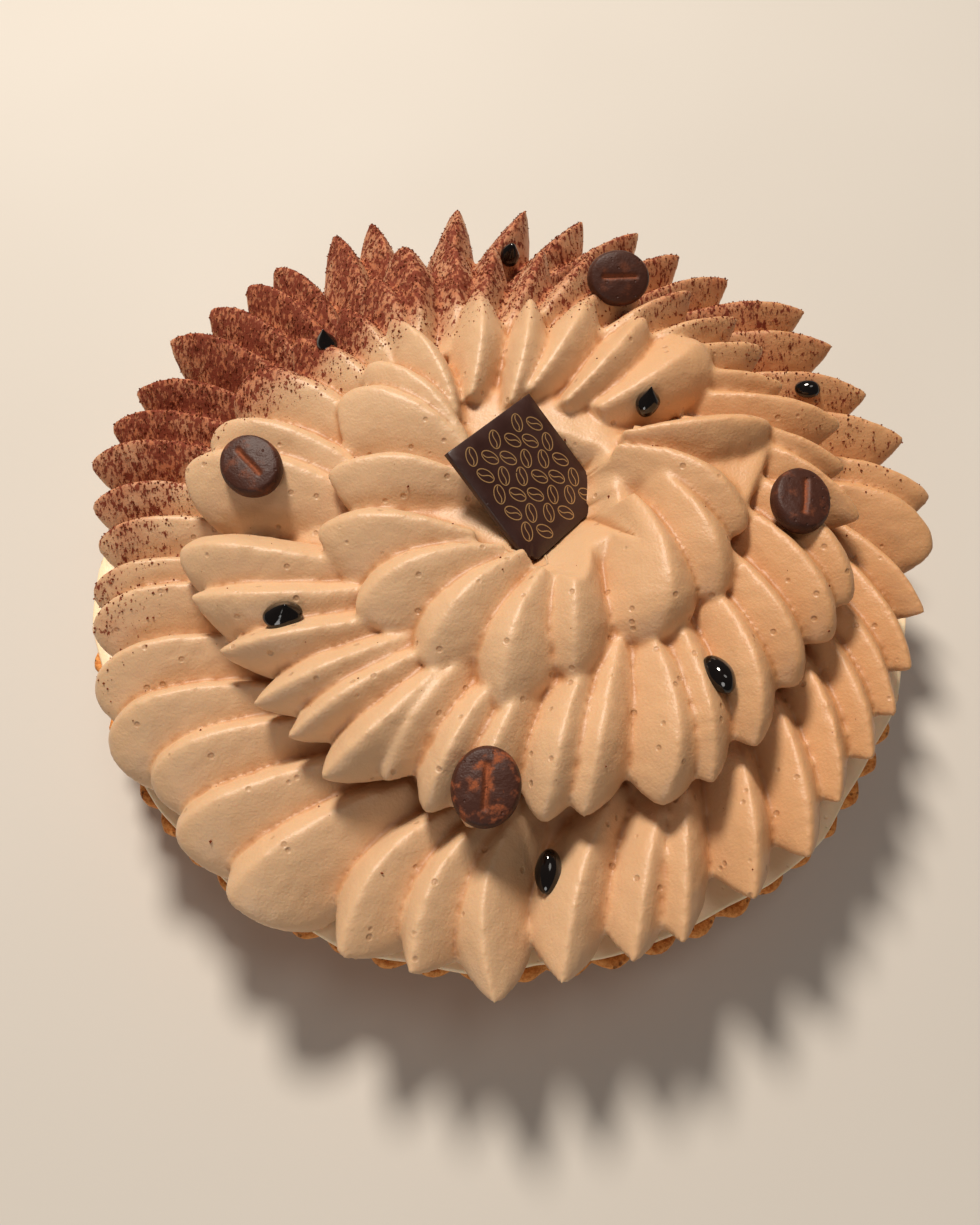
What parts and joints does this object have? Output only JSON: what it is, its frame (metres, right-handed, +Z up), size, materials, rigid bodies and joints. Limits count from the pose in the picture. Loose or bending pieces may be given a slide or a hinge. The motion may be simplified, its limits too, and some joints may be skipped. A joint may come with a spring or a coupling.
{
  "type": "coffee tart",
  "caption": "Round fluted coffee tart with a cream filling, rings of piped coffee-cream petals, chocolate coffee beans, gel drops and a square chocolate plaque.",
  "frame": {"origin": "centre of the tart's flat underside, on the axis of the fluted shell", "axes": "+Z up out of the tart, -Y towards the viewer of the picture, +X to the viewer's right"},
  "size_m": [0.2828, 0.3024, 0.0941],
  "materials": {
    "shell": "matt",
    "filling": "satin",
    "cream": "matt",
    "bean": "matt",
    "gel": "gloss",
    "plaque": "satin"
  },
  "bodies": {
    "root": {"pastry_shell": "shell", "cream_filling": "filling", "piped_petals": "cream", "coffee_bean_1": "bean", "coffee_bean_2": "bean", "coffee_bean_3": "bean", "coffee_bean_4": "bean", "gel_drop_1": "gel", "gel_drop_2": "gel", "gel_drop_3": "gel", "gel_drop_4": "gel", "gel_drop_5": "gel", "gel_drop_6": "gel", "gel_drop_7": "gel", "plaque": "plaque"}
  },
  "joints": []
}
